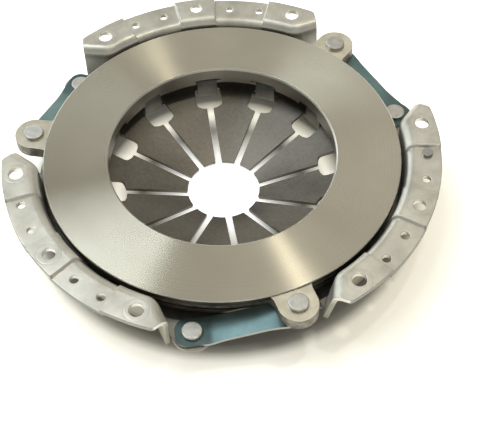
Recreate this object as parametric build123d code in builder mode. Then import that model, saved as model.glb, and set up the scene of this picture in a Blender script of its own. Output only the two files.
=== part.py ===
from build123d import *
import os
from math import asin, atan2, cos, degrees, hypot, radians, sin, sqrt, tan

# Clutch pressure plate assembly, millimetres.
# The origin is the centre of the bolt circle on the flange's mounting face.
# +Z points out of the cover, towards the flywheel.

# Friction ring
face_outer_diameter = 224.0
face_width = 40.4
face_recess = 3.7           # face below the mounting plane in the free state
plate_travel = 5.7          # free to fully released
plate_depth = 11.8          # friction face to the plain back
rim_height = 4.0            # full-diameter band below the friction face
rim_undercut = 3.5          # how far the casting steps in below that band
bore_chamfer = 1.0
rim_chamfer = 0.5
ridge_inset = 3.0           # diaphragm's rim to the ridge that bears on it
ridge_depth = 15.1          # friction face to the ridge's crest
ridge_width = 5.0
ridge_crown = 1.5
ridge_root = 1.5            # flare at the ridge's foot
ridge_gap_count = 12        # breaks in the ridge that let air through
ridge_gap_width = 9.0
ridge_clearance = 0.2

# Lugs on the ring
lug_reach = 9.3             # rivet centre outside the friction ring
lug_radius = 12.0
lug_flare = 8.0
lug_step = 1.2              # lug top below the friction face
lug_thickness = 8.0
lug_offset_angle = 73.0     # from a flange island's middle
lug_pocket_radius = 4.0     # cast hollow in the flank that faces away from the strap

# Stamped cover
island_count = 3
first_island_angle = 90.0
cover_sheet = 3.0
plate_gap = 2.5             # friction ring to the cover's wall
bolt_margin = 13.5          # cover's wall to the bolt circle
bolt_hole_diameter = 9.0
dowel_hole_diameter = 8.0
balance_hole_diameter = 5.5
end_bolt_angle = 30.0       # bolts either side of an island's middle
balance_hole_angles = (10.3, 19.5)
flange_margin = 8.8         # bolt circle to the flange's trimmed edge
island_end_margin = 15.5    # end bolt to the island's trimmed end
wall_run_margin = 2.0       # end bolt to where the wall leaves its arc
wall_run_angle = 14.0       # straight run of the wall, off the island's cross direction
wall_blend_radius = 12.0
toe_wall_lean = 12.0        # run by the toe, off upright, drawn in towards its foot
flange_corner_radius = 4.0
flange_bend_radius = 3.3    # inside bend between flange and wall
recess_depth = 2.4          # balance holes' seats below the bolt pads
recess_start_angle = 6.0
recess_end_angle = 21.6
recess_slope = 18.0         # pad's step, off upright
floor_overhang = 2.5        # floor's edge inside the fulcrum radius
shoulder_run = 17.5         # foot of the sloping shoulder to the wall
shoulder_rise = 3.4
shoulder_bend = 5.0
ear_radius = 11.5
ear_offset_angle = 43.7     # from the flange island's middle
ear_foot_angles = (32.0, 49.5)
toe_foot_angles = (-31.0, -38.5)

# Tabs that hold the fulcrum rings
tab_count = 12
tab_width = 13.6
tab_clearance = 0.5         # tab to wire
tab_bend_radius = 1.5
tab_tip_length = 5.0        # bent end past the tab's outer face
tab_notch_width = 2.0
tab_notch_depth = 4.0
scallop_clearance = 0.7     # tab end to the plate at full travel
scallop_side = 2.7
scallop_round = 2.5

# Diaphragm spring and its wires
diaphragm_sheet = 2.4
cone_angle = 15.0
diaphragm_rim_gap = 6.5     # rim to the cover's wall
tip_radius = 23.6
slot_width = 4.3
keyhole_margin = 1.7        # fulcrum to the keyholes
keyhole_length = 16.8
keyhole_width = 17.5
keyhole_round = 4.0
ridge_lever = 24.0          # ridge to fulcrum
wire_diameter = 3.6
wire_clearance = 0.05

# Drive straps
leaf_count = 3
leaf_thickness = 0.6
leaf_gap = 0.02
strap_drop = 7.8            # lug end above cover end in the free state
strap_half_width = 9.4
strap_waist_half_width = 8.6
strap_end_length = 10.0     # past each rivet
strap_corner_radius = 7.0
strap_flat_length = 9.0     # flat seat on the inner side of each rivet
strap_bend_radius = 20.0
strap_taper_length = 9.0    # full width down to the waist
strap_blend_radius = 14.0
strap_seat_gap = 0.05

# Rivets
rivet_shank_diameter = 7.0
rivet_head_diameter = 12.4
rivet_head_height = 2.2
rivet_head_round = 0.7
rivet_tail_diameter = 9.0
rivet_tail_height = 2.0
rivet_tail_clearance = 0.3  # formed tail to the cover's wall
rivet_hole_clearance = 0.1
strap_hole_clearance = 0.3
balance_head_diameter = 6.8
balance_head_height = 1.8
balance_head_round = 0.3
balance_tail_height = 1.4
balance_rivet_angle = 19.5  # from the last island's middle

# Radii that follow from the sizes above
face_outer_radius = face_outer_diameter / 2
face_inner_radius = face_outer_radius - face_width
undercut_radius = face_outer_radius - rim_undercut
wall_radius = face_outer_radius + plate_gap
bolt_radius = wall_radius + bolt_margin
flange_radius = bolt_radius + flange_margin
lug_rivet_radius = face_outer_radius + lug_reach
strap_rivet_radius = wall_radius + cover_sheet + rivet_tail_diameter / 2 + rivet_tail_clearance
end_bolt_offset = bolt_radius * sin(radians(end_bolt_angle))
island_half_width = end_bolt_offset + island_end_margin
wall_run_offset = end_bolt_offset - wall_run_margin
wall_run_reach = sqrt(wall_radius**2 - wall_run_offset**2)
diaphragm_outer_radius = wall_radius - diaphragm_rim_gap
ridge_radius = diaphragm_outer_radius - ridge_inset
fulcrum_radius = ridge_radius - ridge_lever
keyhole_outer_radius = fulcrum_radius - keyhole_margin
keyhole_inner_radius = keyhole_outer_radius - keyhole_length
floor_edge_radius = fulcrum_radius - floor_overhang
tab_outer_radius = fulcrum_radius - wire_diameter / 2 - tab_clearance
tab_tip_radius = tab_outer_radius + tab_tip_length
rivet_shank_radius = rivet_shank_diameter / 2
outside_bend_radius = flange_bend_radius + cover_sheet

# Heights that follow, from the mounting plane down
face_z = -face_recess
back_z = face_z - plate_depth
ridge_z = face_z - ridge_depth
lug_top_z = face_z - lug_step
lug_bottom_z = lug_top_z - lug_thickness
pack_thickness = leaf_count * leaf_thickness + (leaf_count - 1) * leaf_gap
shelf_top_z = lug_bottom_z - strap_seat_gap - pack_thickness - strap_drop
shelf_bottom_z = shelf_top_z - cover_sheet
cone_slope = tan(radians(cone_angle))
upright = 1 / cos(radians(cone_angle))
fulcrum_top_z = ridge_z - ridge_clearance - ridge_lever * cone_slope
wire_offset = (wire_diameter / 2 + wire_clearance) * upright
upper_wire_z = fulcrum_top_z + wire_offset
lower_wire_z = fulcrum_top_z - diaphragm_sheet * upright - wire_offset
floor_top_z = lower_wire_z - wire_diameter / 2 - wire_clearance
floor_middle_z = floor_top_z - cover_sheet / 2
tab_end_bottom_z = upper_wire_z + wire_diameter / 2 + wire_clearance
tab_end_top_z = tab_end_bottom_z + cover_sheet
scallop_top_z = tab_end_top_z + plate_travel + scallop_clearance

island_angles = [first_island_angle + 360 / island_count * k for k in range(island_count)]
first_lug_angle = first_island_angle + lug_offset_angle
above_all = 20.0            # cutters start this far past the part
upwards = (Align.CENTER, Align.CENTER, Align.MIN)
downwards = (Align.CENTER, Align.CENTER, Align.MAX)

os.makedirs("parts", exist_ok=True)


def polar(radius, angle):
    """Point on the XY plane at a radius and an angle in degrees."""
    return (radius * cos(radians(angle)), radius * sin(radians(angle)))


def run_plane(side, inset):
    """Plane of the wall's straight run at either end of an island; the run by the toe leans."""
    turn = radians(wall_run_angle)
    lean = radians(toe_wall_lean) if side < 0 else 0
    facing = (cos(turn) * cos(lean), -side * sin(turn) * cos(lean), -sin(lean))
    return Plane(origin=(wall_run_reach, side * wall_run_offset, 0), z_dir=facing).offset(inset)


def island_block(inset, drop):
    """Untrimmed island with its middle on +X, rounded into its wall and lowered by a drop."""
    foot_z = shelf_bottom_z - inset
    half_length = island_half_width + above_all
    with BuildPart() as block:
        with BuildSketch(Plane.XY.offset(foot_z)):
            Rectangle(2 * flange_radius, 2 * half_length, align=(Align.MIN, Align.CENTER))
            Circle(wall_radius + inset, mode=Mode.SUBTRACT)
        extrude(amount=-drop - inset - foot_z)
        for side in (1, -1):
            split(bisect_by=run_plane(side, inset), keep=Keep.TOP)
        wall_ends = block.edges().filter_by(lambda e: abs(e.tangent_at(0.5).Z) > 0.5).sort_by(Axis.X)[:2]
        fillet(wall_ends, wall_blend_radius - inset)
        top = block.faces().sort_by(Axis.Z)[-1]
        bend_edges = top.edges().filter_by(lambda e: abs(e.center().Y) < wall_run_offset + wall_blend_radius)
        fillet(bend_edges.sort_by(Axis.X)[:-1], outside_bend_radius - inset)
    return block.part


def island_form(inset):
    """Raised island drawn in from the sheet's outer side: bolt pads that stand above lower seats."""
    slope = radians(recess_slope)
    step_foot_z = -recess_depth - inset - outside_bend_radius
    step_growth = inset / cos(slope) - (inset + outside_bend_radius) * tan(slope)
    step_angle = degrees(step_growth / bolt_radius)
    with BuildPart() as form:
        add(island_block(inset, 0))
        with BuildSketch(Plane.XY.offset(step_foot_z)):
            for side in (1, -1):
                start_angle = side * (recess_start_angle - step_angle)
                end_angle = side * (recess_end_angle + step_angle)
                with BuildLine():
                    Polyline(
                        (0, 0),
                        polar(2 * flange_radius, start_angle),
                        polar(2 * flange_radius, end_angle),
                        close=True,
                    )
                make_face()
        extrude(amount=above_all, taper=-recess_slope, mode=Mode.SUBTRACT)
        add(island_block(inset, recess_depth))
    return form.part


def rivet(seat_z, grip, place):
    """Flat-headed rivet whose head seats at seat_z and whose formed tail closes the grip below it."""
    with BuildPart() as body:
        with Locations((*place, seat_z)):
            Cylinder(rivet_head_diameter / 2, rivet_head_height, align=upwards)
        fillet(body.edges().group_by(Axis.Z)[-1], rivet_head_round)
        with Locations((*place, seat_z)):
            Cylinder(rivet_shank_radius, grip, align=downwards)
        with Locations((*place, seat_z - grip)):
            Cylinder(rivet_tail_diameter / 2, rivet_tail_height, align=downwards)
        fillet(body.edges().group_by(Axis.Z)[0], rivet_head_round)
    return body.part


# One tab: a strip that rises from the floor's edge through a keyhole and bends over the upper wire
with BuildPart() as tab:
    with BuildSketch(Plane.XZ):
        with BuildLine():
            FilletPolyline(
                (floor_edge_radius + tab_notch_depth, floor_middle_z),
                (tab_outer_radius - cover_sheet / 2, floor_middle_z),
                (tab_outer_radius - cover_sheet / 2, tab_end_top_z - cover_sheet / 2),
                (tab_tip_radius, tab_end_top_z - cover_sheet / 2),
                radius=tab_bend_radius + cover_sheet / 2,
            )
        trace(line_width=cover_sheet)
    extrude(amount=tab_width / 2, both=True)

# Ear that carries a strap's fixed end, and the small toe at the island's other end
with BuildPart() as ear:
    with BuildSketch(Plane.XY.offset(shelf_bottom_z)):
        ear_middle = polar(strap_rivet_radius, ear_offset_angle)
        with Locations(ear_middle):
            Circle(ear_radius)
        with BuildLine():
            Polyline(ear_middle, *(polar(wall_radius, angle) for angle in ear_foot_angles), close=True)
        make_face()
        make_hull()
        toe_offset = island_half_width - cover_sheet
        toe_reach = wall_run_reach + (toe_offset - wall_run_offset) * tan(radians(wall_run_angle))
        toe_lean = shelf_bottom_z * tan(radians(toe_wall_lean))
        with BuildLine():
            Polyline(
                *(polar(wall_radius, angle) for angle in toe_foot_angles),
                (toe_reach + toe_lean + cover_sheet / 2, -toe_offset),
                close=True,
            )
        make_face()
        Circle(wall_radius, mode=Mode.SUBTRACT)
    extrude(amount=cover_sheet)

island_inside = island_form(cover_sheet)

with BuildPart() as island_outside:
    add(island_form(0))
    with BuildSketch(Plane.XY.offset(shelf_bottom_z)) as trim:
        Circle(flange_radius)
        Rectangle(flange_radius, 2 * island_half_width, align=(Align.MIN, Align.CENTER), mode=Mode.INTERSECT)
        fillet(trim.vertices().sort_by(Axis.X)[-2:], flange_corner_radius)
    extrude(amount=above_all - shelf_bottom_z, mode=Mode.INTERSECT)

with BuildPart() as clutch_cover:
    # Bowl: floor, sloping shoulder and wall, up to the strap ears
    with BuildSketch(Plane.XZ):
        with BuildLine():
            FilletPolyline(
                (floor_edge_radius, floor_middle_z),
                (wall_radius - shoulder_run, floor_middle_z),
                (wall_radius + cover_sheet / 2, floor_middle_z + shoulder_rise),
                (wall_radius + cover_sheet / 2, shelf_bottom_z),
                radius=shoulder_bend,
            )
        trace(line_width=cover_sheet)
    revolve(axis=Axis.Z)
    with PolarLocations(0, island_count, start_angle=first_island_angle):
        add(island_outside.part)
        add(ear.part)
    with PolarLocations(0, island_count, start_angle=first_island_angle):
        add(island_inside, mode=Mode.SUBTRACT)
    # Relief notches beside each tab, then the tabs
    notch_offset = (tab_width + tab_notch_width) / 2
    with BuildSketch(Plane.XY.offset(floor_top_z + above_all)):
        with PolarLocations(floor_edge_radius, tab_count):
            with Locations((0, notch_offset), (0, -notch_offset)):
                Rectangle(2 * tab_notch_depth, tab_notch_width)
    extrude(amount=-2 * above_all, mode=Mode.SUBTRACT)
    with PolarLocations(0, tab_count):
        add(tab.part)
    # Bolt, dowel, balance and strap rivet holes
    with BuildSketch(Plane.XY):
        for island_angle in island_angles:
            with Locations(polar(bolt_radius, island_angle)):
                Circle(dowel_hole_diameter / 2)
            for side in (1, -1):
                with Locations(polar(bolt_radius, island_angle + side * end_bolt_angle)):
                    Circle(bolt_hole_diameter / 2)
                with Locations(*(polar(bolt_radius, island_angle + side * a) for a in balance_hole_angles)):
                    Circle(balance_hole_diameter / 2)
            with Locations(polar(strap_rivet_radius, island_angle + ear_offset_angle)):
                Circle(rivet_shank_radius + rivet_hole_clearance)
    extrude(amount=shelf_bottom_z - above_all, mode=Mode.SUBTRACT)

clutch_cover.part.label = "clutch_cover"
export_step(clutch_cover.part, "parts/clutch_cover.step")

# Pressure plate: turned ring with a bearing ridge, three lugs and a scallop over each tab
with BuildPart() as scallop:
    with BuildSketch(Plane.YZ.offset(face_inner_radius - above_all)) as arch:
        with Locations((0, scallop_top_z)):
            Rectangle(
                tab_width + 2 * scallop_side,
                2 * (scallop_top_z - back_z),
                align=(Align.CENTER, Align.MAX),
            )
        fillet(arch.vertices().group_by(Axis.Z)[-1], scallop_round)
    extrude(amount=tab_tip_radius + scallop_side - face_inner_radius + above_all)

with BuildPart() as lug_pocket:
    with Locations(Plane(origin=(undercut_radius, lug_radius + lug_pocket_radius / 2, lug_bottom_z))):
        Cylinder(lug_pocket_radius, 2 * lug_pocket_radius, rotation=(0, 90, 0))

with BuildPart() as pressure_plate:
    with BuildSketch(Plane.XZ):
        with BuildLine():
            Polyline(
                (ridge_radius - ridge_width / 2, ridge_z + ridge_crown),
                (ridge_radius - ridge_width / 2 - ridge_root, back_z),
                (face_inner_radius, back_z),
                (face_inner_radius, face_z - bore_chamfer),
                (face_inner_radius + bore_chamfer, face_z),
                (face_outer_radius - rim_chamfer, face_z),
                (face_outer_radius, face_z - rim_chamfer),
                (face_outer_radius, face_z - rim_height),
                (undercut_radius, face_z - rim_height - rim_undercut),
                (undercut_radius, back_z),
                (ridge_radius + ridge_width / 2, ridge_z + ridge_crown),
            )
            ThreePointArc(
                (ridge_radius + ridge_width / 2, ridge_z + ridge_crown),
                (ridge_radius, ridge_z),
                (ridge_radius - ridge_width / 2, ridge_z + ridge_crown),
            )
        make_face()
    revolve(axis=Axis.Z)
    with BuildSketch(Plane.XY.offset(ridge_z)):
        with PolarLocations(ridge_radius, ridge_gap_count, start_angle=180 / ridge_gap_count):
            Rectangle(2 * (ridge_width + ridge_root), ridge_gap_width)
    extrude(amount=back_z - ridge_z, mode=Mode.SUBTRACT)
    with BuildSketch(Plane.XY.offset(lug_bottom_z)) as lug_plan:
        Circle(undercut_radius)
        with PolarLocations(lug_rivet_radius, island_count, start_angle=first_lug_angle):
            Circle(lug_radius)
            Rectangle(lug_rivet_radius - ridge_radius, 2 * lug_radius, align=(Align.MAX, Align.CENTER))
        roots = lug_plan.vertices().filter_by(lambda v: abs(hypot(v.X, v.Y) - undercut_radius) < 0.01)
        fillet(roots, lug_flare)
        Circle(ridge_radius, mode=Mode.SUBTRACT)
    extrude(amount=lug_thickness)
    with PolarLocations(0, island_count, start_angle=first_lug_angle):
        add(lug_pocket.part, mode=Mode.SUBTRACT)
    with PolarLocations(0, tab_count):
        add(scallop.part, mode=Mode.SUBTRACT)
    with BuildSketch(Plane.XY.offset(lug_top_z)):
        with PolarLocations(lug_rivet_radius, island_count, start_angle=first_lug_angle):
            Circle(rivet_shank_radius + rivet_hole_clearance)
    extrude(amount=-2 * lug_thickness, mode=Mode.SUBTRACT)

pressure_plate.part.label = "pressure_plate"
export_step(pressure_plate.part, "parts/pressure_plate.step")

# Diaphragm spring: a coned disc cut into fingers, with a keyhole window at the root of each slot
with BuildPart() as diaphragm_spring:
    middle_drop = diaphragm_sheet / 2 * upright
    with BuildSketch(Plane.XZ):
        with BuildLine():
            Line(
                (slot_width, fulcrum_top_z - middle_drop - (fulcrum_radius - slot_width) * cone_slope),
                (
                    diaphragm_outer_radius,
                    fulcrum_top_z - middle_drop + (diaphragm_outer_radius - fulcrum_radius) * cone_slope,
                ),
            )
        trace(line_width=diaphragm_sheet)
    revolve(axis=Axis.Z)
    with BuildSketch(Plane.XY):
        Circle(tip_radius)
        with PolarLocations(0, tab_count):
            Rectangle(keyhole_inner_radius + keyhole_round, slot_width, align=(Align.MIN, Align.CENTER))
        with PolarLocations((keyhole_inner_radius + keyhole_outer_radius) / 2, tab_count):
            RectangleRounded(keyhole_outer_radius - keyhole_inner_radius, keyhole_width, keyhole_round)
    extrude(amount=-3 * above_all, mode=Mode.SUBTRACT)

diaphragm_spring.part.label = "diaphragm_spring"
export_step(diaphragm_spring.part, "parts/diaphragm_spring.step")

with BuildPart() as upper_fulcrum_ring:
    with Locations((0, 0, upper_wire_z)):
        Torus(fulcrum_radius, wire_diameter / 2)
upper_fulcrum_ring.part.label = "upper_fulcrum_ring"
export_step(upper_fulcrum_ring.part, "parts/upper_fulcrum_ring.step")

with BuildPart() as lower_fulcrum_ring:
    with Locations((0, 0, lower_wire_z)):
        Torus(fulcrum_radius, wire_diameter / 2)
lower_fulcrum_ring.part.label = "lower_fulcrum_ring"
export_step(lower_fulcrum_ring.part, "parts/lower_fulcrum_ring.step")

# Drive straps: each leaf is the strap's plan, cut from a sheet bent down from the lug to the ear
for number, island_angle in enumerate(island_angles, start=1):
    cover_end = Vector(*polar(strap_rivet_radius, island_angle + ear_offset_angle))
    lug_end = Vector(*polar(lug_rivet_radius, island_angle + lug_offset_angle))
    span = (lug_end - cover_end).length
    strap_plane = Plane(
        origin=(cover_end.X, cover_end.Y, shelf_top_z),
        x_dir=lug_end - cover_end,
        z_dir=(0, 0, 1),
    )
    side_plane = Plane(origin=strap_plane.origin, x_dir=strap_plane.x_dir, z_dir=-strap_plane.y_dir)
    bend_run = span - 2 * strap_flat_length
    bend_lift = 2 * strap_bend_radius - strap_drop
    bend_angle = asin(2 * strap_bend_radius / hypot(bend_run, bend_lift)) - atan2(bend_lift, bend_run)
    slope_length = (strap_drop - 2 * strap_bend_radius * (1 - cos(bend_angle))) / sin(bend_angle)
    bend_turn = degrees(bend_angle)
    for leaf_number in range(1, leaf_count + 1):
        low = (leaf_number - 1) * (leaf_thickness + leaf_gap)
        high = low + leaf_thickness
        with BuildPart() as leaf:
            with BuildSketch(side_plane):
                with BuildLine():
                    edge_ends = []
                    for height in (low, high):
                        seat = Line((-strap_end_length, height), (strap_flat_length, height))
                        rise = JernArc(seat @ 1, (1, 0), strap_bend_radius - height, bend_turn)
                        slope = PolarLine(rise @ 1, slope_length, direction=rise % 1)
                        level = JernArc(slope @ 1, slope % 1, strap_bend_radius + height, -bend_turn)
                        far = Line(level @ 1, (span + strap_end_length, (level @ 1).Y))
                        edge_ends.append((seat @ 0, far @ 1))
                    Line(edge_ends[0][0], edge_ends[1][0])
                    Line(edge_ends[0][1], edge_ends[1][1])
                make_face()
            extrude(amount=strap_half_width, both=True)
            with BuildSketch(strap_plane) as strap_plan:
                with BuildLine():
                    half_outline = Polyline(
                        (-strap_end_length, 0),
                        (-strap_end_length, strap_half_width),
                        (strap_flat_length, strap_half_width),
                        (strap_flat_length + strap_taper_length, strap_waist_half_width),
                        (span - strap_flat_length - strap_taper_length, strap_waist_half_width),
                        (span - strap_flat_length, strap_half_width),
                        (span + strap_end_length, strap_half_width),
                        (span + strap_end_length, 0),
                    )
                    mirror(half_outline, about=Plane.XZ)
                make_face()
                outline_points = strap_plan.vertices().filter_by(lambda v: abs(v.Y) > 1).sort_by(Axis.X)
                fillet(outline_points[:2] + outline_points[-2:], strap_corner_radius)
                waist_points = strap_plan.vertices().filter_by(
                    lambda v: strap_flat_length - 1 < v.X < span - strap_flat_length + 1
                )
                fillet(waist_points, strap_blend_radius)
                with Locations((0, 0)):
                    Circle(rivet_shank_radius + rivet_hole_clearance, mode=Mode.SUBTRACT)
                with Locations((span, 0)):
                    Circle(rivet_shank_radius + strap_hole_clearance, mode=Mode.SUBTRACT)
            extrude(amount=strap_drop + pack_thickness, both=True, mode=Mode.INTERSECT)
        leaf_name = f"drive_strap_{number}_leaf_{leaf_number}"
        leaf.part.label = leaf_name
        export_step(leaf.part, f"parts/{leaf_name}.step")

    lug_grip = lug_thickness + strap_seat_gap + pack_thickness
    lug_rivet = rivet(lug_top_z, lug_grip, (lug_end.X, lug_end.Y))
    lug_rivet.label = f"lug_rivet_{number}"
    export_step(lug_rivet, f"parts/lug_rivet_{number}.step")
    ear_grip = pack_thickness + cover_sheet
    strap_rivet = rivet(shelf_bottom_z + ear_grip, ear_grip, (cover_end.X, cover_end.Y))
    strap_rivet.label = f"strap_rivet_{number}"
    export_step(strap_rivet, f"parts/strap_rivet_{number}.step")

# Balance rivet: plain flat head in one of the last island's small holes
with BuildPart() as balance_rivet:
    place = polar(bolt_radius, island_angles[-1] + balance_rivet_angle)
    head_seat = (*place, -recess_depth)
    with Locations(head_seat):
        Cylinder(balance_head_diameter / 2, balance_head_height, align=upwards)
    fillet(balance_rivet.edges().group_by(Axis.Z)[-1], balance_head_round)
    with Locations(head_seat):
        Cylinder(balance_hole_diameter / 2 - rivet_hole_clearance, cover_sheet, align=downwards)
    with Locations((*place, -recess_depth - cover_sheet)):
        Cylinder(balance_head_diameter / 2, balance_tail_height, align=downwards)
balance_rivet.part.label = "balance_rivet"
export_step(balance_rivet.part, "parts/balance_rivet.step")
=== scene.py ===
from math import atan2, cos, hypot, radians, sin, sqrt, tan

import bmesh
import bpy
from mathutils import Matrix, Vector


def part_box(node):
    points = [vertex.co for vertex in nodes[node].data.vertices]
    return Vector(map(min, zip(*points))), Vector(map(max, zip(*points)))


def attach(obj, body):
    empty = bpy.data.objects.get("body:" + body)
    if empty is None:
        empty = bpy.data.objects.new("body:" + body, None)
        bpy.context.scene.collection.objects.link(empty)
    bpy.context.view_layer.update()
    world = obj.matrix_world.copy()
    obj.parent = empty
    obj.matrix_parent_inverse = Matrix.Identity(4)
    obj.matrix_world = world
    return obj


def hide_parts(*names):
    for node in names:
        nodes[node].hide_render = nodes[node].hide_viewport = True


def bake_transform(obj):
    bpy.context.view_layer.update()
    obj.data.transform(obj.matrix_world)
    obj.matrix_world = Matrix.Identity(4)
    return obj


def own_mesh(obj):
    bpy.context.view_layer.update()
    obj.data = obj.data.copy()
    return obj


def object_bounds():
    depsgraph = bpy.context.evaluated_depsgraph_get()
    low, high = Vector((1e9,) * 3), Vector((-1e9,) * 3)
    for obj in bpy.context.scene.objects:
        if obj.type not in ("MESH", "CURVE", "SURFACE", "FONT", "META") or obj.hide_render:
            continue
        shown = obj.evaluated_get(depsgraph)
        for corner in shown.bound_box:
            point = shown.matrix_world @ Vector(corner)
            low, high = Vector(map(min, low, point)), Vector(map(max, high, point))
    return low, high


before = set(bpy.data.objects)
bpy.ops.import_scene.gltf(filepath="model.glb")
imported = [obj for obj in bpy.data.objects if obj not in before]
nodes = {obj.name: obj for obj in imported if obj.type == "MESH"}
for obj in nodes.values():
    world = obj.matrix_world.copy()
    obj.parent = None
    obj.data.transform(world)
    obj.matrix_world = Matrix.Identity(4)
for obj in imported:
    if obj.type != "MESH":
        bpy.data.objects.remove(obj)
cad_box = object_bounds()

# Sizes are in millimetres and angles in degrees; meshes and shader nodes take metres.
# A pair named ..._ZONE or ..._SPAN is where a change starts and where it is complete.
MM = 0.001
EDGE_ROUND = 0.35               # worn edge on machined pieces
CAST_EDGE_ROUND = 0.6
STAMPED_EDGE_ROUND = 0.9
RIVET_EDGE_ROUND = 0.7
BEVEL_SAMPLES = 6

# Diaphragm spring, drawn as its middle surface
FINGER_COUNT = 12
FINGER_PITCH = 360 / FINGER_COUNT
SHEET = 2.4
CONE_ANGLE = 15.0
TIP_RADIUS = 23.6
SLOT_HALF_WIDTH = 2.15
SLOT_STATIONS = (30.0, 37.0, 45.0, 53.0, 59.5)
KEYHOLE_INNER = 62.5
KEYHOLE_OUTER = 79.3
KEYHOLE_HALF_WIDTH = 8.75
KEYHOLE_ROUND = 4.0
KEYHOLE_CORNER_TURNS = (0.0, 30.0, 60.0, 90.0)
KEYHOLE_END_STEPS = 4
RIM_STATIONS = (82.5, 86.5, 91.0, 96.0, 101.0, 105.0)
SHEET_EDGE_ROUND = 0.3
SHEET_EDGE_SEGMENTS = 2
SHEET_EDGE_ANGLE = 50.0
FINGER_COLUMNS = 10
ROW_FLATNESS = 4                # power by which a row leaves the finger's edge

# Drive straps
STRAP_NUMBERS = (1, 2, 3)
LEAF_NUMBERS = (1, 2, 3)
LEAF_SHARP_ANGLE = 30.0
LEAF_EDGE_SLOPE = 0.3           # z of the normal, below which a face is a cut edge
WELD_DISTANCE = 0.001

# Faces of the pressure plate, by radius, by depth below the friction face and by z of the normal
FACE_TOLERANCE = 0.1
CHAMFER_DEPTH = 1.0
LUG_DEPTH = 1.5
RIM_BAND_DEPTH = 4.1
BORE_LIMIT = 72.7
RIM_INNER_LIMIT = 111.4
RING_LIMIT = 112.1
LEVEL_SLOPE = 0.99
CHAMFER_SLOPES = (0.3, 0.95)
BORE_SLOPE = -0.5

# Rings pressed round the cover's bolt holes
BOLT_RADIUS = 128.0
HOLE_STEP_ANGLE = 30.0          # bolt and dowel holes all fall on this pitch
SEAT_MARK_RADIUS = 7.6
SEAT_MARK_WIDTH = 0.55
SEAT_MARK_DARKNESS = 0.28

# Where the cover's finish, its painted shade and its painted highlights change: by radius, by height, by z
# of the normal, by its outward part
TAB_ZONE = (86.0, 89.0)         # painted shade on the tabs, then darker painted shade in the bowl
BOWL_ZONE = (86.0, 104.0)       # painted shade in the bowl, then the wall
CUT_EDGE_ZONE = (135.4, 136.4)  # sheared rim of the flange
EAR_ZONE = (-24.0, -18.0)       # ears and feet of the toes
DRAWN_ZONE = (-12.0, -5.0)      # sheet roughened by the draw
WALL_ZONE = (-9.0, -6.0)        # wall, then the flange
STEP_ZONE = (-4.5, -3.5)        # steps of the bolt pads
UNDERSIDE_SPAN = (-0.9, -0.6)
CUT_EDGE_SPAN = (0.3, 0.7)
STEP_SPAN = (0.3, 0.8)
BEND_SPAN = (0.85, 0.985)
# painted light on the inside of the wall, by the outward part of the normal
INNER_WALL_LIGHT_SPAN = (-0.6, -0.1)
OUTSIDE_SPAN = (0.1, 0.6)
# painted shade on the ears and the feet of the toes
EAR_DARKNESS = 0.5
CUT_EDGE_DARKNESS = 0.7
# painted shade on the outside of the wall
OUTSIDE_DARKNESS = 0.3
# painted highlight on the steps of the bolt pads
STEP_BRIGHTNESS = 0.8
BEND_ROUGHNESS = 0.16
DRAWN_ROUGHNESS = 0.26

# Camera fitted to the photograph
CAMERA_PLACE = (-49.5, -471.1, 552.2)
CAMERA_TARGET = (7.4, -53.2, -3.7)
CAMERA_ROLL = -1.215
CAMERA_LENS = 85.0
SENSOR_WIDTH = 36.0

# Floor: glow that lifts it to white for the camera and mirrors, by radius; it paints light below the
# openings, and is held back round the cover and furthest out on one side, which paints the shadow's reach
FLOOR_RADIUS = 4000.0
FLOOR_SEGMENTS = 96
TIP_GLOW = 0.70                 # painted light below the finger tips
TIP_GLOW_ZONE = (22.0, 52.0)
WINDOW_GLOW = 0.75              # painted light below the keyhole windows
SLOT_GLOW = 0.05                # weaker painted light below the slots
WINDOW_GLOW_START_ZONE = (54.0, 68.0)
WINDOW_GLOW_END_ZONE = (70.0, 81.0)
OPEN_GLOW = 0.44                # outside the cover, and once more further out
OPEN_GLOW_ZONE = (121.0, 129.0)
FAR_GLOW_ZONE = (142.0, 182.0)
WHITE_MIDDLE_ZONE = (24.0, 80.0)    # white glow, then a cream one that paints the warm tone of the shadow round the cover
WHITE_FAR_ZONE = (132.0, 182.0)     # cream glow, then a white one
CONTACT_SHADE = 0.6             # painted shadow under the cover
CONTACT_START_ZONE = (78.0, 92.0)
CONTACT_END_ZONE = (116.0, 127.0)
SHADOW_AZIMUTH = -32.0          # side where the white glow is held back furthest out, which paints the shadow there
SHADOW_SPAN = (0.55, 0.92)      # cosine of the angle from that side
SHADOW_REACH = 26.0             # how much nearer the white comes on other sides

# Light tent, by height and by direction; lamps stand on a sphere round the part
VIEW_AZIMUTH = 82.0             # from the camera to the far side of the part
TENT_LEVELS = ((0.0, 0.85), (0.35, 0.80), (0.62, 0.70), (0.85, 0.72), (1.0, 1.0))
TENT_GREEN = 0.985
TENT_BLUE = 0.95
TENT_FRONT = 0.7
TENT_LEFT = 0.22
TENT_RIGHT = 0.42
FRONT_SPAN = (-0.8, 0.1)
LEFT_SPAN = (-0.55, -0.05)
RIGHT_SPAN = (0.15, 0.65)
HORIZON_SPAN = (0.12, 0.4)
LAMP_DISTANCE = 1300.0
COOL = (0.79, 0.89, 1.0)
WARM = (1.0, 0.96, 0.84)


def feed(tree, socket, value):
    """Links a socket to another node's output, or sets its constant."""
    if isinstance(value, bpy.types.NodeSocket):
        tree.links.new(value, socket)
    else:
        socket.default_value = value


def node(tree, kind, inputs=(), **settings):
    """New node with its settings and inputs; inputs go by name or by number."""
    made = tree.nodes.new(kind)
    for key, value in settings.items():
        setattr(made, key, value)
    for key, value in dict(inputs).items():
        feed(tree, made.inputs[key], value)
    return made


def calc(tree, operation, *values):
    """Result of a Math node."""
    return node(tree, "ShaderNodeMath", enumerate(values), operation=operation).outputs[0]


def largest(tree, value, *others):
    """Greatest of several values."""
    for other in others:
        value = calc(tree, "MAXIMUM", value, other)
    return value


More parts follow.
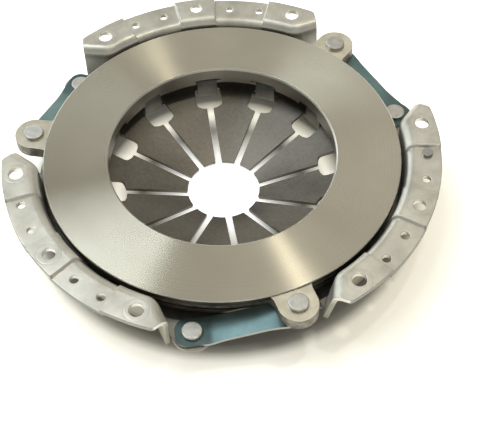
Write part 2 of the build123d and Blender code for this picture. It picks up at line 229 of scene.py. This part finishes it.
def plus_share(tree, value, extra, share):
    """A value with a share of another added to it."""
    return calc(tree, "ADD", value, calc(tree, "MULTIPLY", extra, share))


def weighted(tree, first, first_share, second, second_share):
    """Sum of two values, each times its share."""
    return plus_share(tree, calc(tree, "MULTIPLY", first, first_share), second, second_share)


def vector_calc(tree, operation, *values):
    """Result of a Vector Math node: a number for a length or a dot product, else a vector."""
    made = node(tree, "ShaderNodeVectorMath", enumerate(values), operation=operation)
    return made.outputs["Value" if operation in ("LENGTH", "DOT_PRODUCT") else "Vector"]


def coordinate(tree, vector, axis):
    """One coordinate of a vector: X, Y or Z."""
    return node(tree, "ShaderNodeSeparateXYZ", {0: vector}).outputs[axis]


def spread(tree, value, first, last, start=0.0, end=1.0):
    """Maps start..end to first..last, held at both ends."""
    inputs = {"Value": value, "From Min": start, "From Max": end, "To Min": first, "To Max": last}
    return node(tree, "ShaderNodeMapRange", inputs, clamp=True).outputs["Result"]


def fade(tree, length, first, last, zone):
    """Maps a length to first..last across a zone in millimetres, held at both ends."""
    start, end = zone
    return spread(tree, length, first, last, start * MM, end * MM)


def noise(tree, place, scale, detail, roughness=0.5):
    """Cloudy noise of 0..1 in space."""
    inputs = {"Vector": place, "Scale": scale, "Detail": detail, "Roughness": roughness}
    return node(tree, "ShaderNodeTexNoise", inputs).outputs["Fac"]


def line_noise(tree, position, scale, detail):
    """Noise along one direction, for turned or milled lines."""
    inputs = {"W": position, "Scale": scale, "Detail": detail}
    return node(tree, "ShaderNodeTexNoise", inputs, noise_dimensions="1D").outputs["Fac"]


def colour(red, green, blue):
    """Opaque colour for a socket."""
    return (red, green, blue, 1.0)


def mix_colours(tree, factor, first, second):
    """First colour where the factor is 0, second where it is 1."""
    made = node(tree, "ShaderNodeMix", {0: factor, 6: first, 7: second}, data_type="RGBA")
    return made.outputs[2]


def two_tone(tree, value, span, dark, pale):
    """Colour that goes from dark to pale as the value crosses a span."""
    return mix_colours(tree, spread(tree, value, 0.0, 1.0, *span), colour(*dark), colour(*pale))


def bump(tree, height, depth, normal=None):
    """Normal tilted by a height of 0..1 that stands for a depth in millimetres."""
    inputs = {"Height": height, "Distance": depth * MM, "Strength": 1.0}
    if normal is not None:
        inputs["Normal"] = normal
    return node(tree, "ShaderNodeBump", inputs).outputs["Normal"]


def soft_edges(tree, radius=EDGE_ROUND):
    """Normal that rounds sharp edges."""
    made = node(tree, "ShaderNodeBevel", {"Radius": radius * MM}, samples=BEVEL_SAMPLES)
    return made.outputs["Normal"]


def face_normal(tree):
    """Normal of the face itself, without smoothing or bump."""
    return tree.nodes.new("ShaderNodeNewGeometry").outputs["True Normal"]


def level_part(tree, place):
    """Place with its height taken away."""
    return vector_calc(tree, "MULTIPLY", place, (1.0, 1.0, 0.0))


def flat_radius(tree, place):
    """Distance from the clutch's axis, in metres."""
    return vector_calc(tree, "LENGTH", level_part(tree, place))


def outward_direction(tree, place):
    """Level direction away from the clutch's axis."""
    return vector_calc(tree, "NORMALIZE", level_part(tree, place))


def heading(azimuth):
    """Level direction at an azimuth, from +X towards +Y."""
    return (cos(radians(azimuth)), sin(radians(azimuth)), 0.0)


def new_material(name, metallic, **constants):
    """Node material with a Principled surface."""
    material = bpy.data.materials.new(name)
    material.use_nodes = True
    tree = material.node_tree
    tree.nodes.clear()
    surface = node(tree, "ShaderNodeBsdfPrincipled", {"Metallic": metallic, **constants})
    output = tree.nodes.new("ShaderNodeOutputMaterial")
    tree.links.new(surface.outputs["BSDF"], output.inputs["Surface"])
    place = tree.nodes.new("ShaderNodeTexCoord").outputs["Object"]
    return material, tree, surface, place


def coat(tree, surface, tint, rough, normal):
    """Feeds a surface its colour, roughness and normal."""
    feed(tree, surface.inputs["Base Color"], tint)
    feed(tree, surface.inputs["Roughness"], rough)
    feed(tree, surface.inputs["Normal"], normal)


def ground_iron():
    """Friction face: fine concentric grinding lines on warm grey iron, that spread light outwards."""
    material, tree, surface, place = new_material("ground_iron", 1.0, Anisotropic=1.0)
    lines = line_noise(tree, flat_radius(tree, place), scale=1300.0, detail=6.0)
    clouds = noise(tree, place, scale=14.0, detail=4.0)
    grain = noise(tree, place, scale=650.0, detail=3.0)
    tone = weighted(tree, lines, 0.3, clouds, 0.7)
    tint = two_tone(tree, tone, (0.3, 0.7), dark=(0.40, 0.37, 0.285), pale=(0.505, 0.472, 0.375))
    rough = plus_share(tree, spread(tree, clouds, first=0.21, last=0.25), grain, share=0.04)
    relief = plus_share(tree, lines, grain, share=0.1)
    coat(tree, surface, tint, rough, bump(tree, relief, depth=0.0035, normal=soft_edges(tree)))
    feed(tree, surface.inputs["Tangent"], outward_direction(tree, place))
    return material


def turned_iron(name, dull, bright):
    """Bore, chamfers or rim band of the ring, turned, mottled between two tones."""
    material, tree, surface, place = new_material(name, 1.0)
    lines = line_noise(tree, coordinate(tree, place, "Z"), scale=2200.0, detail=3.0)
    clouds = noise(tree, place, scale=45.0, detail=4.0)
    tint = two_tone(tree, clouds, (0.35, 0.7), dull, bright)
    rough = spread(tree, clouds, first=0.32, last=0.5)
    coat(tree, surface, tint, rough, bump(tree, lines, depth=0.03, normal=soft_edges(tree)))
    return material


def cast_iron():
    """Unmachined casting: grainy, matt and brown-grey."""
    material, tree, surface, place = new_material("cast_iron", 0.85)
    grain = noise(tree, place, scale=900.0, detail=5.0, roughness=0.65)
    pits = noise(tree, place, scale=210.0, detail=3.0)
    tint = two_tone(tree, pits, (0.35, 0.65), dark=(0.17, 0.155, 0.13), pale=(0.34, 0.315, 0.265))
    rough = spread(tree, grain, first=0.48, last=0.72)
    relief = calc(tree, "ADD", grain, pits)
    rounded = soft_edges(tree, CAST_EDGE_ROUND)
    coat(tree, surface, tint, rough, bump(tree, relief, depth=0.12, normal=rounded))
    return material


def milled_iron():
    """Lug tops: cleaned by a milling pass, ivory grey with faint straight lines."""
    material, tree, surface, place = new_material("milled_iron", 1.0)
    lines = line_noise(tree, coordinate(tree, place, "X"), scale=1500.0, detail=3.0)
    clouds = noise(tree, place, scale=120.0, detail=4.0)
    tint = two_tone(tree, clouds, (0.3, 0.7), dark=(0.54, 0.50, 0.385), pale=(0.72, 0.67, 0.525))
    rough = spread(tree, lines, first=0.25, last=0.36)
    coat(tree, surface, tint, rough, bump(tree, lines, depth=0.015, normal=soft_edges(tree)))
    return material


def seat_marks(tree, place):
    """Ring pressed round each bolt hole: 1 on the ring, 0 off it."""
    angle = calc(tree, "ARCTAN2", coordinate(tree, place, "Y"), coordinate(tree, place, "X"))
    step = radians(HOLE_STEP_ANGLE)
    shifted = calc(tree, "FLOORED_MODULO", calc(tree, "ADD", angle, step / 2), step)
    folded = calc(tree, "SUBTRACT", shifted, step / 2)
    radius = flat_radius(tree, place)
    outwards = calc(tree, "MULTIPLY", radius, calc(tree, "COSINE", folded))
    along = calc(tree, "SUBTRACT", outwards, BOLT_RADIUS * MM)
    across = calc(tree, "MULTIPLY", radius, calc(tree, "SINE", folded))
    squares = calc(tree, "ADD", calc(tree, "POWER", along, 2.0), calc(tree, "POWER", across, 2.0))
    away = calc(tree, "SQRT", squares)
    off = calc(tree, "ABSOLUTE", calc(tree, "SUBTRACT", away, SEAT_MARK_RADIUS * MM))
    return fade(tree, off, 1.0, 0.0, (0.0, SEAT_MARK_WIDTH))


def sheet_tone(tree, place, mottle, specks, marks):
    """Pale pickled sheet with warm stains, fine specks and darker seat marks."""
    pale = two_tone(tree, mottle, (0.35, 0.68), dark=(0.465, 0.442, 0.365), pale=(0.665, 0.635, 0.54))
    stains = noise(tree, place, scale=18.0, detail=4.0, roughness=0.6)
    stained = spread(tree, stains, first=0.0, last=0.55, start=0.5, end=0.72)
    stain_colour = colour(0.66, 0.61, 0.47)
    warm = mix_colours(tree, stained, pale, stain_colour)
    specked = spread(tree, specks, first=0.0, last=0.2, start=0.68, end=0.8)
    dark = largest(tree, specked, calc(tree, "MULTIPLY", marks, SEAT_MARK_DARKNESS))
    speck_colour = colour(0.34, 0.33, 0.30)
    return mix_colours(tree, dark, warm, speck_colour)


def bowl_shade(tree, radius, mottle):
    """Painted shade for the inside of the bowl, paler on the tabs."""
    # both tones are painted shade, the tabs' one paler
    shade = two_tone(tree, mottle, (0.35, 0.68), dark=(0.055, 0.053, 0.047), pale=(0.12, 0.117, 0.107))
    tab_shade = two_tone(tree, mottle, (0.35, 0.68), dark=(0.13, 0.127, 0.114), pale=(0.27, 0.26, 0.235))
    return mix_colours(tree, fade(tree, radius, 1.0, 0.0, TAB_ZONE), shade, tab_shade)


def stamped_steel():
    """Cover: pale sheet with painted highlights on the pad steps and painted light inside the wall,
    painted shade in the bowl, on the ears and outside the wall, and dark cut edges.
    """
    material, tree, surface, place = new_material("stamped_steel", 0.85)
    mottle = noise(tree, place, scale=55.0, detail=6.0, roughness=0.62)
    specks = noise(tree, place, scale=700.0, detail=2.0)
    marks = seat_marks(tree, place)
    radius = flat_radius(tree, place)
    height = coordinate(tree, place, "Z")
    normal = face_normal(tree)
    facing = coordinate(tree, normal, "Z")
    level = calc(tree, "ABSOLUTE", facing)
    outward = vector_calc(tree, "DOT_PRODUCT", normal, outward_direction(tree, place))
    wall = fade(tree, height, 1.0, 0.0, WALL_ZONE)

    not_below = spread(tree, facing, 0.0, 1.0, *UNDERSIDE_SPAN)
    # painted shade in the bowl, left off the undersides
    bowl = calc(tree, "MULTIPLY", fade(tree, radius, 1.0, 0.0, BOWL_ZONE), not_below)
    # painted shade on the ears and the feet of the toes
    ears = fade(tree, height, EAR_DARKNESS, 0.0, EAR_ZONE)
    on_edge = spread(tree, level, 1.0, 0.0, *CUT_EDGE_SPAN)
    at_rim = fade(tree, radius, 0.0, CUT_EDGE_DARKNESS, CUT_EDGE_ZONE)
    cut_edge = calc(tree, "MULTIPLY", at_rim, on_edge)
    # painted shade on the outside of the wall
    turned_out = spread(tree, outward, 0.0, OUTSIDE_DARKNESS, *OUTSIDE_SPAN)
    outside = calc(tree, "MULTIPLY", wall, turned_out)
    dark = largest(tree, bowl, ears, cut_edge, outside)

    # painted highlight on the steps of the bolt pads
    on_step = spread(tree, level, 1.0, 0.0, *STEP_SPAN)
    at_pads = fade(tree, height, 0.0, STEP_BRIGHTNESS, STEP_ZONE)
    steps = calc(tree, "MULTIPLY", at_pads, on_step)
    # painted light on the inside of the wall
    turned_in = spread(tree, outward, 1.0, 0.0, *INNER_WALL_LIGHT_SPAN)
    inner_wall_light = calc(tree, "MULTIPLY", wall, turned_in)
    sheet = sheet_tone(tree, place, mottle, specks, marks)
    # colour of the painted highlights on the steps and of the painted light inside the wall
    bright = colour(0.90, 0.88, 0.80)
    lit = mix_colours(tree, largest(tree, steps, inner_wall_light), sheet, bright)
    # the dark places take the bowl's painted shade colour
    tint = mix_colours(tree, dark, lit, bowl_shade(tree, radius, mottle))

    bends = spread(tree, level, BEND_ROUGHNESS, 0.0, *BEND_SPAN)
    drawn = fade(tree, height, DRAWN_ROUGHNESS, 0.0, DRAWN_ZONE)
    worked = largest(tree, bends, drawn)
    rough = plus_share(tree, spread(tree, mottle, first=0.24, last=0.35), specks, share=0.05)
    rough = calc(tree, "ADD", rough, worked)
    relief = weighted(tree, mottle, 0.5, marks, -0.7)
    rounded = soft_edges(tree, STAMPED_EDGE_ROUND)
    coat(tree, surface, tint, rough, bump(tree, relief, depth=0.06, normal=rounded))
    return material


def spring_steel():
    """Diaphragm: dark tempered steel, satin and faintly grained."""
    material, tree, surface, place = new_material("spring_steel", 0.9)
    grain = noise(tree, place, scale=520.0, detail=4.0, roughness=0.6)
    clouds = noise(tree, place, scale=30.0, detail=4.0)
    tone = weighted(tree, clouds, 0.6, grain, 0.4)
    tint = two_tone(tree, tone, (0.35, 0.65), dark=(0.118, 0.105, 0.083), pale=(0.195, 0.176, 0.141))
    rough = plus_share(tree, spread(tree, clouds, first=0.34, last=0.46), grain, share=0.08)
    coat(tree, surface, tint, rough, bump(tree, grain, depth=0.03))
    return material


def strap_coating():
    """Drive straps: blue-green satin coating, darker towards both ends."""
    material, tree, surface, place = new_material("strap_coating", 0.75)
    grain = noise(tree, place, scale=420.0, detail=3.0)
    clouds = noise(tree, place, scale=60.0, detail=6.0, roughness=0.6)
    run = two_tone(tree, clouds, (0.3, 0.7), dark=(0.10, 0.158, 0.15), pale=(0.165, 0.245, 0.235))
    ends = two_tone(tree, clouds, (0.3, 0.7), dark=(0.055, 0.085, 0.08), pale=(0.09, 0.135, 0.125))
    along = node(tree, "ShaderNodeAttribute", attribute_name="along").outputs["Fac"]
    from_middle = calc(tree, "ABSOLUTE", calc(tree, "SUBTRACT", along, 0.5))
    near_end = spread(tree, from_middle, first=0.0, last=1.0, start=0.2, end=0.5)
    tint = mix_colours(tree, near_end, run, ends)
    rough = plus_share(tree, spread(tree, clouds, first=0.26, last=0.4), grain, share=0.06)
    coat(tree, surface, tint, rough, bump(tree, grain, depth=0.015))
    return material


def rivet_steel():
    """Rivets: satin pressed heads with a fine hammered grain and a painted highlight on their rims."""
    material, tree, surface, place = new_material("rivet_steel", 1.0)
    grain = noise(tree, place, scale=800.0, detail=4.0, roughness=0.6)
    clouds = noise(tree, place, scale=260.0, detail=4.0)
    head = two_tone(tree, clouds, (0.3, 0.7), dark=(0.41, 0.395, 0.345), pale=(0.56, 0.54, 0.48))
    rounded = soft_edges(tree, RIVET_EDGE_ROUND)
    alike = vector_calc(tree, "DOT_PRODUCT", rounded, face_normal(tree))
    # painted highlight round the rim of each head
    rim = spread(tree, alike, first=0.9, last=0.0, start=0.84, end=0.99)
    bright = colour(0.92, 0.90, 0.84)
    tint = mix_colours(tree, rim, head, bright)
    rough = spread(tree, grain, first=0.3, last=0.5)
    coat(tree, surface, tint, rough, bump(tree, grain, depth=0.08, normal=rounded))
    return material


def wire_steel():
    """Fulcrum rings, the balance rivet and the straps' bare edges: drawn steel."""
    material, tree, surface, place = new_material("wire_steel", 1.0)
    grain = noise(tree, place, scale=600.0, detail=3.0)
    dark = colour(0.26, 0.25, 0.23)
    pale = colour(0.42, 0.41, 0.385)
    tint = mix_colours(tree, grain, dark, pale)
    rough = spread(tree, grain, first=0.25, last=0.42)
    coat(tree, surface, tint, rough, bump(tree, grain, depth=0.01))
    return material


def link(name, data):
    """New object in the scene."""
    made = bpy.data.objects.new(name, data)
    bpy.context.scene.collection.objects.link(made)
    return made


def mesh_from(name, shape):
    """Turns a bmesh into a mesh and lets the bmesh go."""
    mesh = bpy.data.meshes.new(name)
    shape.to_mesh(mesh)
    shape.free()
    return mesh


def dress(piece, *materials):
    """Gives a piece its materials, the first as the one for all faces."""
    piece.data.materials.clear()
    for material in materials:
        piece.data.materials.append(material)


def dress_plate(plate):
    """Gives each face of the pressure plate the finish of its machining, with painted shade on the rim
    band and a painted highlight on the chamfers.
    """
    bore = turned_iron("turned_iron", dull=(0.33, 0.30, 0.245), bright=(0.46, 0.43, 0.365))
    # the rim band's near-black tone is painted shade
    rim = turned_iron("dark_rim", dull=(0.07, 0.064, 0.052), bright=(0.14, 0.13, 0.107))
    # the chamfers' pale tone is a painted highlight
    chamfer = turned_iron("bright_chamfer", dull=(0.62, 0.59, 0.50), bright=(0.76, 0.72, 0.62))
    dress(plate, cast_iron(), ground_iron(), bore, milled_iron(), chamfer, rim)
    cast, ground, turned, milled, chamfered, edged = range(6)
    face_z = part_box("pressure_plate")[1].z
    steepest, flattest = CHAMFER_SLOPES
    for polygon in plate.data.polygons:
        x, y, z = polygon.center
        radius = hypot(x, y) / MM
        depth = (face_z - z) / MM
        up = polygon.normal.z
        finish = cast
        if up > LEVEL_SLOPE and depth < FACE_TOLERANCE:
            finish = ground
        elif steepest < up < flattest and depth < CHAMFER_DEPTH and radius < RING_LIMIT:
            finish = chamfered
        elif radius < BORE_LIMIT and up > BORE_SLOPE:
            finish = turned
        elif RIM_INNER_LIMIT < radius < RING_LIMIT and depth < RIM_BAND_DEPTH:
            finish = edged
        elif up > LEVEL_SLOPE and depth < LUG_DEPTH:
            finish = milled
        polygon.material_index = finish


def keyhole_side():
    """Points (along, aside) of a finger's edge from tip to rim ring, from a slot's middle line."""
    side = [(sqrt(TIP_RADIUS**2 - SLOT_HALF_WIDTH**2), SLOT_HALF_WIDTH)]
    side += [(along, SLOT_HALF_WIDTH) for along in SLOT_STATIONS]
    side.append((KEYHOLE_INNER, SLOT_HALF_WIDTH))
    straight = KEYHOLE_HALF_WIDTH - KEYHOLE_ROUND
    for turn in KEYHOLE_CORNER_TURNS:
        along = KEYHOLE_INNER + KEYHOLE_ROUND * (1 - cos(radians(turn)))
        side.append((along, straight + KEYHOLE_ROUND * sin(radians(turn))))
    for turn in reversed(KEYHOLE_CORNER_TURNS):
        along = KEYHOLE_OUTER - KEYHOLE_ROUND * (1 - cos(radians(turn)))
        side.append((along, straight + KEYHOLE_ROUND * sin(radians(turn))))
    return side


def add_finger(shape, point, side, finger):
    """Faces of one finger in rows from tip to rim ring; gives the last row's points."""
    pitch = radians(FINGER_PITCH)
    edge_radii = [hypot(*place) for place in side]
    first_bend = next(n for n, place in enumerate(side) if place[0] >= KEYHOLE_INNER)
    bent_rows = len(side) - first_bend
    bent_length = edge_radii[-1] - edge_radii[first_bend]
    rows = []
    for number, (along, aside) in enumerate(side):
        margin = atan2(aside, along)
        edge = edge_radii[number]
        middle = edge
        if number >= first_bend:
            share = (number - first_bend + 0.5) / bent_rows
            middle = edge_radii[first_bend] + share * bent_length
        row = []
        for column in range(FINGER_COLUMNS + 1):
            across = column / FINGER_COLUMNS
            inner = 1 - abs(2 * across - 1) ** ROW_FLATNESS
            radius = edge + (middle - edge) * inner
            angle = finger * pitch + margin + across * (pitch - 2 * margin)
            row.append(shape.verts.new(point(radius, angle)))
        rows.append(row)
    for first, second in zip(rows, rows[1:]):
        for n in range(FINGER_COLUMNS):
            shape.faces.new((first[n], first[n + 1], second[n + 1], second[n]))
    return rows[-1]


def add_keyhole_end(shape, point, side, finger):
    """Points on the straight outer end of the keyhole that follows a finger."""
    slot_angle = (finger + 1) * radians(FINGER_PITCH)
    along, aside = side[-1]
    end_angle = 2 * atan2(aside, along)
    points = []
    for step in range(1, KEYHOLE_END_STEPS):
        turn = end_angle * step / KEYHOLE_END_STEPS - end_angle / 2
        points.append(shape.verts.new(point(KEYHOLE_OUTER / cos(turn), slot_angle + turn)))
    return points


def add_rim(shape, point, row, rim_radius):
    """Faces of the closed ring outside the keyholes."""
    angles = [atan2(vertex.co.y, vertex.co.x) for vertex in row]
    for radius in (*RIM_STATIONS, rim_radius):
        outer = [shape.verts.new(point(radius, angle)) for angle in angles]
        for n in range(len(row)):
            after = (n + 1) % len(row)
            shape.faces.new((row[n], row[after], outer[after], outer[n]))
        row = outer


def thicken(sheet):
    """Gives a sheet its thickness and rounded edges by modifiers, so that it can flatten without thinning.
    """
    thick = sheet.modifiers.new("thickness", "SOLIDIFY")
    thick.thickness = SHEET * MM
    thick.offset = 0.0
    thick.use_even_offset = True
    edges = sheet.modifiers.new("edges", "BEVEL")
    edges.width = SHEET_EDGE_ROUND * MM
    edges.segments = SHEET_EDGE_SEGMENTS
    edges.limit_method = "ANGLE"
    edges.angle_limit = radians(SHEET_EDGE_ANGLE)
    edges.harden_normals = True


def diaphragm_sheet():
    """Coned sheet of fingers and rim ring, thickened by modifiers and carried by the cover."""
    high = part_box("diaphragm_spring")[1]
    slope = tan(radians(CONE_ANGLE))
    rim_radius = high.x / MM - SHEET / 2 * sin(radians(CONE_ANGLE))
    rim_z = high.z / MM - SHEET / 2 * cos(radians(CONE_ANGLE))

    def point(radius, angle):
        height = rim_z + (radius - rim_radius) * slope
        return Vector((radius * cos(angle), radius * sin(angle), height)) * MM

    side = keyhole_side()
    shape = bmesh.new()
    ring_row = []
    for finger in range(FINGER_COUNT):
        ring_row += add_finger(shape, point, side, finger)
        ring_row += add_keyhole_end(shape, point, side, finger)
    add_rim(shape, point, ring_row, rim_radius)
    bmesh.ops.recalc_face_normals(shape, faces=shape.faces)
    mesh = mesh_from("diaphragm_sheet", shape)
    mesh.shade_smooth()
    sheet = link("diaphragm_sheet", mesh)
    dress(sheet, spring_steel())
    thicken(sheet)
    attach(sheet, "cover")
    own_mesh(sheet)
    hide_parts("diaphragm_spring")


def middle_of(name):
    """Middle of a node's box at rest."""
    low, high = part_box(name)
    return (low + high) / 2


def welded_leaf(name, mesh_name):
    """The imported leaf's own mesh with its split edges joined, so that it bends as one."""
    shape = bmesh.new()
    shape.from_mesh(nodes[name].data)
    bmesh.ops.remove_doubles(shape, verts=shape.verts, dist=WELD_DISTANCE * MM)
    mesh = mesh_from(mesh_name, shape)
    mesh.shade_smooth()
    mesh.set_sharp_from_angle(angle=radians(LEAF_SHARP_ANGLE))
    return mesh


def strap_leaves(bare_edge):
    """Each leaf is replaced by a welded copy that records how far along it lies, from its fixed end on the
    cover to its end on the plate's lug.
    """
    coating = strap_coating()
    for strap in STRAP_NUMBERS:
        cover_end = middle_of(f"strap_rivet_{strap}")
        lug_end = middle_of(f"lug_rivet_{strap}")
        run = lug_end - cover_end
        run.z = 0.0
        for leaf in LEAF_NUMBERS:
            name = f"drive_strap_{strap}_leaf_{leaf}"
            mesh = welded_leaf(name, f"strap_{strap}_blade_{leaf}")
            blade = link(mesh.name, mesh)
            dress(blade, coating, bare_edge)
            for polygon in mesh.polygons:
                polygon.material_index = int(abs(polygon.normal.z) < LEAF_EDGE_SLOPE)
            along = mesh.attributes.new("along", "FLOAT", "POINT")
            for vertex in mesh.vertices:
                along.data[vertex.index].value = (vertex.co - cover_end).dot(run) / run.length_squared
            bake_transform(blade)
            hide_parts(name)


def floor_glow(tree, radius, reach):
    """Strength that lifts the floor to white: painted light below the openings, and white outside the
    cover whose start paints the shadow's reach.
    """
    below_tips = fade(tree, radius, TIP_GLOW, 0.0, TIP_GLOW_ZONE)
    rising = fade(tree, radius, SLOT_GLOW, WINDOW_GLOW, WINDOW_GLOW_START_ZONE)
    falling = fade(tree, radius, WINDOW_GLOW, 0.0, WINDOW_GLOW_END_ZONE)
    below_windows = calc(tree, "MINIMUM", rising, falling)
    open_floor = fade(tree, radius, 0.0, OPEN_GLOW, OPEN_GLOW_ZONE)
    far_floor = fade(tree, reach, 0.0, OPEN_GLOW, FAR_GLOW_ZONE)
    inner = calc(tree, "ADD", below_tips, below_windows)
    outer = calc(tree, "ADD", open_floor, far_floor)
    return calc(tree, "ADD", inner, outer)


def floor_material():
    """Pale floor that keeps warm shadows and reads as white where it is lit, with a painted shadow under
    the cover and glow set by place that paints light below the openings and the shadow's reach.
    """
    material, tree, surface, place = new_material("floor_white", 0.0, Roughness=0.9)
    clouds = noise(tree, place, scale=3.0, detail=2.0)
    tint = two_tone(tree, clouds, (0.3, 0.7), dark=(0.92, 0.895, 0.81), pale=(0.94, 0.915, 0.83))
    radius = flat_radius(tree, place)
    # painted shadow in a ring under the cover
    inner_shade = fade(tree, radius, 0.0, CONTACT_SHADE, CONTACT_START_ZONE)
    outer_shade = fade(tree, radius, CONTACT_SHADE, 0.0, CONTACT_END_ZONE)
    contact = calc(tree, "MINIMUM", inner_shade, outer_shade)
    dark = colour(0.05, 0.045, 0.035)
    shaded = mix_colours(tree, contact, tint, dark)
    feed(tree, surface.inputs["Base Color"], shaded)

    # painted shadow: the white glow comes nearer the cover on all sides but one
    outward = outward_direction(tree, place)
    towards = vector_calc(tree, "DOT_PRODUCT", outward, heading(SHADOW_AZIMUTH))
    nearer = spread(tree, towards, SHADOW_REACH * MM, 0.0, *SHADOW_SPAN)
    reach = calc(tree, "ADD", radius, nearer)
    # the cream glow paints the warm tone of the shadow round the cover
    white_middle = fade(tree, radius, 1.0, 0.0, WHITE_MIDDLE_ZONE)
    white_far = fade(tree, reach, 0.0, 1.0, WHITE_FAR_ZONE)
    cream = colour(1.0, 0.95, 0.76)
    white = colour(1.0, 1.0, 1.0)
    glow = mix_colours(tree, largest(tree, white_middle, white_far), cream, white)
    feed(tree, surface.inputs["Emission Color"], glow)

    rays = tree.nodes.new("ShaderNodeLightPath").outputs
    seen = largest(tree, rays["Is Camera Ray"], rays["Is Glossy Ray"], rays["Is Transmission Ray"])
    strength = calc(tree, "MULTIPLY", seen, floor_glow(tree, radius, reach))
    feed(tree, surface.inputs["Emission Strength"], strength)
    return material


def make_floor():
    """Round floor at the foot of the part."""
    shape = bmesh.new()
    bmesh.ops.create_circle(shape, cap_ends=True, segments=FLOOR_SEGMENTS, radius=FLOOR_RADIUS * MM)
    bmesh.ops.translate(shape, verts=shape.verts, vec=(0, 0, cad_box[0].z))
    floor = link("floor", mesh_from("floor", shape))
    dress(floor, floor_material())


def make_world():
    """Light tent that is bright behind, overhead and at the horizon, and dimmer aside and in front."""
    world = bpy.data.worlds.new("studio")
    bpy.context.scene.world = world
    world.use_nodes = True
    tree = world.node_tree
    tree.nodes.clear()
    direction = tree.nodes.new("ShaderNodeTexCoord").outputs["Generated"]
    height = coordinate(tree, direction, "Z")
    ramp = node(tree, "ShaderNodeValToRGB", {0: height})
    stops = ramp.color_ramp.elements
    while len(stops) < len(TENT_LEVELS):
        stops.new(0.5)
    for stop, (position, level) in zip(stops, TENT_LEVELS):
        stop.position = position
        stop.color = colour(level, level * TENT_GREEN, level * TENT_BLUE)
    behind = vector_calc(tree, "DOT_PRODUCT", direction, heading(VIEW_AZIMUTH))
    aside = vector_calc(tree, "DOT_PRODUCT", direction, heading(VIEW_AZIMUTH - 90))
    front = spread(tree, behind, TENT_FRONT, 1.0, *FRONT_SPAN)
    left = spread(tree, aside, TENT_LEFT, 1.0, *LEFT_SPAN)
    right = spread(tree, aside, 1.0, TENT_RIGHT, *RIGHT_SPAN)
    horizon = spread(tree, height, 1.0, 0.0, *HORIZON_SPAN)
    sides = largest(tree, calc(tree, "MINIMUM", left, right), horizon)
    strength = calc(tree, "MULTIPLY", front, sides)
    inputs = {"Color": ramp.outputs["Color"], "Strength": strength}
    background = node(tree, "ShaderNodeBackground", inputs)
    output = tree.nodes.new("ShaderNodeOutputWorld")
    tree.links.new(background.outputs["Background"], output.inputs["Surface"])


def softbox(name, azimuth, elevation, width, height, power, tint):
    """Area light round the part, aimed at its middle; azimuth runs from +X towards +Y."""
    lamp = bpy.data.lights.new(name, "AREA")
    lamp.shape = "RECTANGLE"
    lamp.size = width * MM
    lamp.size_y = height * MM
    lamp.energy = power
    lamp.color = tint
    holder = link(name, lamp)
    turn, rise = radians(azimuth), radians(elevation)
    away = Vector((cos(turn) * cos(rise), sin(turn) * cos(rise), sin(rise)))
    holder.location = away * LAMP_DISTANCE * MM
    holder.rotation_euler = away.to_track_quat("Z", "Y").to_euler()
    holder.visible_camera = False


def make_lamps():
    """Two windows on the left, a weak panel and two small lamps that draw fans of light on the ring."""
    softbox("key_left", azimuth=144, elevation=59, width=600, height=600, power=6.6, tint=COOL)
    softbox("window_left", azimuth=122, elevation=16, width=900, height=420, power=3.9, tint=COOL)
    softbox("panel_right", azimuth=60, elevation=48, width=600, height=500, power=0.25, tint=WARM)
    softbox("lamp_right", azimuth=14, elevation=74, width=70, height=70, power=1.9, tint=WARM)
    softbox("lamp_back", azimuth=94, elevation=18, width=60, height=60, power=0.45, tint=WARM)


def make_camera():
    """Camera at the photograph's angle."""
    data = bpy.data.cameras.new("photo_camera")
    data.lens = CAMERA_LENS
    data.sensor_width = SENSOR_WIDTH
    camera = link("photo_camera", data)
    place = Vector(CAMERA_PLACE) * MM
    aim = (Vector(CAMERA_TARGET) * MM - place).to_track_quat("-Z", "Y").to_matrix()
    roll = Matrix.Rotation(radians(CAMERA_ROLL), 3, "Z")
    camera.matrix_world = Matrix.Translation(place) @ (aim @ roll).to_4x4()
    bpy.context.scene.camera = camera


make_camera()
make_world()
make_floor()
make_lamps()

dress_plate(nodes["pressure_plate"])
dress(nodes["clutch_cover"], stamped_steel())
rivets = rivet_steel()
wires = wire_steel()
for name, piece in nodes.items():
    if name == "balance_rivet" or name.endswith("fulcrum_ring"):
        dress(piece, wires)
    elif "rivet" in name:
        dress(piece, rivets)
diaphragm_sheet()
strap_leaves(wires)

bpy.context.scene.view_settings.view_transform = "Standard"
